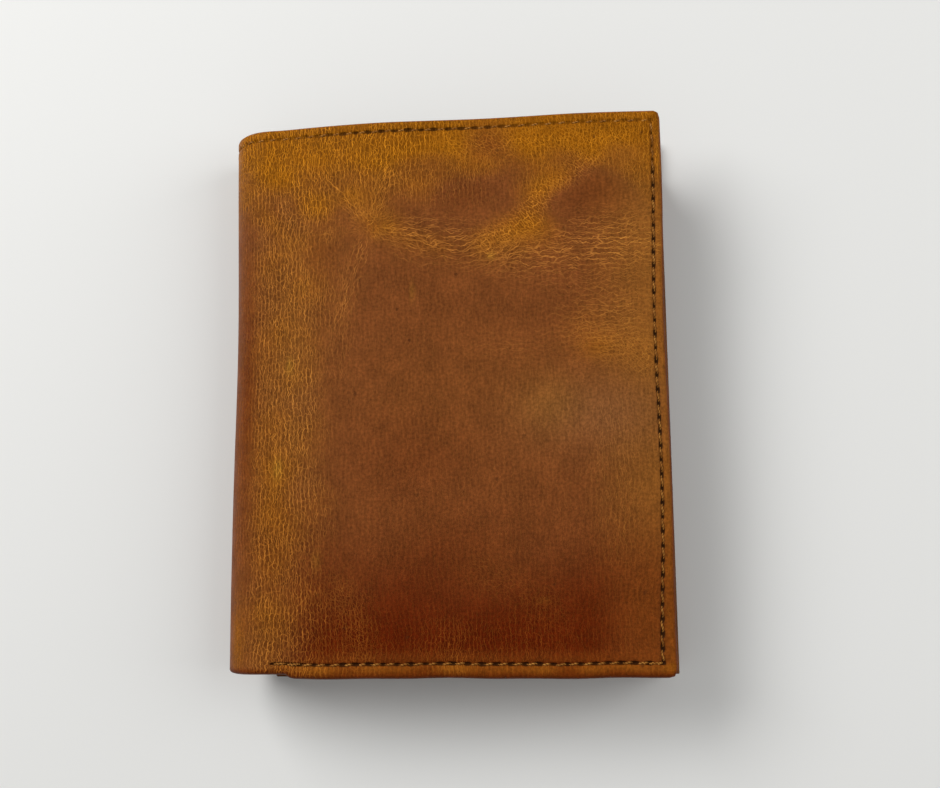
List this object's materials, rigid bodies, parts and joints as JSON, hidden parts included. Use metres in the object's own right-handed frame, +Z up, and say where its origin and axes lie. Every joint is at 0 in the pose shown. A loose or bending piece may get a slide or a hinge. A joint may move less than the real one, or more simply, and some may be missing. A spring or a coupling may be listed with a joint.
{
  "type": "leather bifold wallet",
  "caption": "Portrait leather bifold wallet with a soft spine, stitched turned edges, stepped card pockets, a window pocket and a zipped coin pocket inside.",
  "frame": {"origin": "under the middle of the closed wallet, on the face of the back cover that it rests on", "axes": "+X from the spine to the free edge, +Y from the bottom edge to the mouth of the note compartment, +Z up through the closed thickness, from the back cover to the front cover"},
  "size_m": [0.1, 0.125, 0.021],
  "materials": {
    "outer_leather": "waxed pull-up leather, crackled, satin",
    "inner_leather": "waxed leather, satin",
    "lining": "plain woven cloth, matte",
    "thread": "twisted waxed thread",
    "zip_tape": "woven tape, matte",
    "brass": "antique brass, satin",
    "film": "clear glossy film"
  },
  "bodies": {
    "back_cover": {"back_card_pocket_1": "inner_leather", "back_card_pocket_2": "inner_leather", "back_edge_seam": "thread", "back_inner_panel": "inner_leather", "back_lining": "lining", "back_shell": "outer_leather", "coin_gusset_bottom": "inner_leather", "coin_gusset_left": "inner_leather", "coin_gusset_right": "inner_leather", "coin_gusset_top": "inner_leather", "coin_pocket_front": "inner_leather", "window_film": "film", "window_pocket": "inner_leather", "zip_end_stops": "brass", "zip_tape_lower": "zip_tape", "zip_tape_upper": "zip_tape", "zip_teeth_lower": "brass", "zip_teeth_upper": "brass"},
    "spine": {"spine_edge_seam": "thread", "spine_lining": "lining", "spine_shell": "outer_leather"},
    "front_cover": {"front_card_pocket_1": "inner_leather", "front_card_pocket_2": "inner_leather", "front_card_pocket_3": "inner_leather", "front_card_pocket_4": "inner_leather", "front_edge_seam": "thread", "front_inner_panel": "inner_leather", "front_lining": "lining", "front_shell": "outer_leather"},
    "zip_slider": {"zip_slider": "brass", "zip_slider_back_plate": "brass"},
    "zip_pull": {"zip_pull": "brass"}
  },
  "joints": [
    {"name": "lower_fold", "type": "hinge", "parent": "back_cover", "child": "spine", "pos_m": [-0.04775, 0, 0.00225], "axis": [0, -1, 0], "range_deg": [0, 90]},
    {"name": "upper_fold", "type": "hinge", "parent": "spine", "child": "front_cover", "pos_m": [-0.04775, 0, 0.01875], "axis": [0, -1, 0], "range_deg": [0, 90]},
    {"name": "zip_slide", "type": "slide", "parent": "back_cover", "child": "zip_slider", "axis": [-1, 0, 0], "range_m": [0, 0.063]},
    {"name": "pull_swing", "type": "hinge", "parent": "zip_slider", "child": "zip_pull", "pos_m": [0.0352, 0.039, 0.0093], "axis": [0, 0, 1], "range_deg": [-12, 12]}
  ],
  "couplings": [
    {"joint": "upper_fold", "follows": "lower_fold", "ratio": 1}
  ]
}
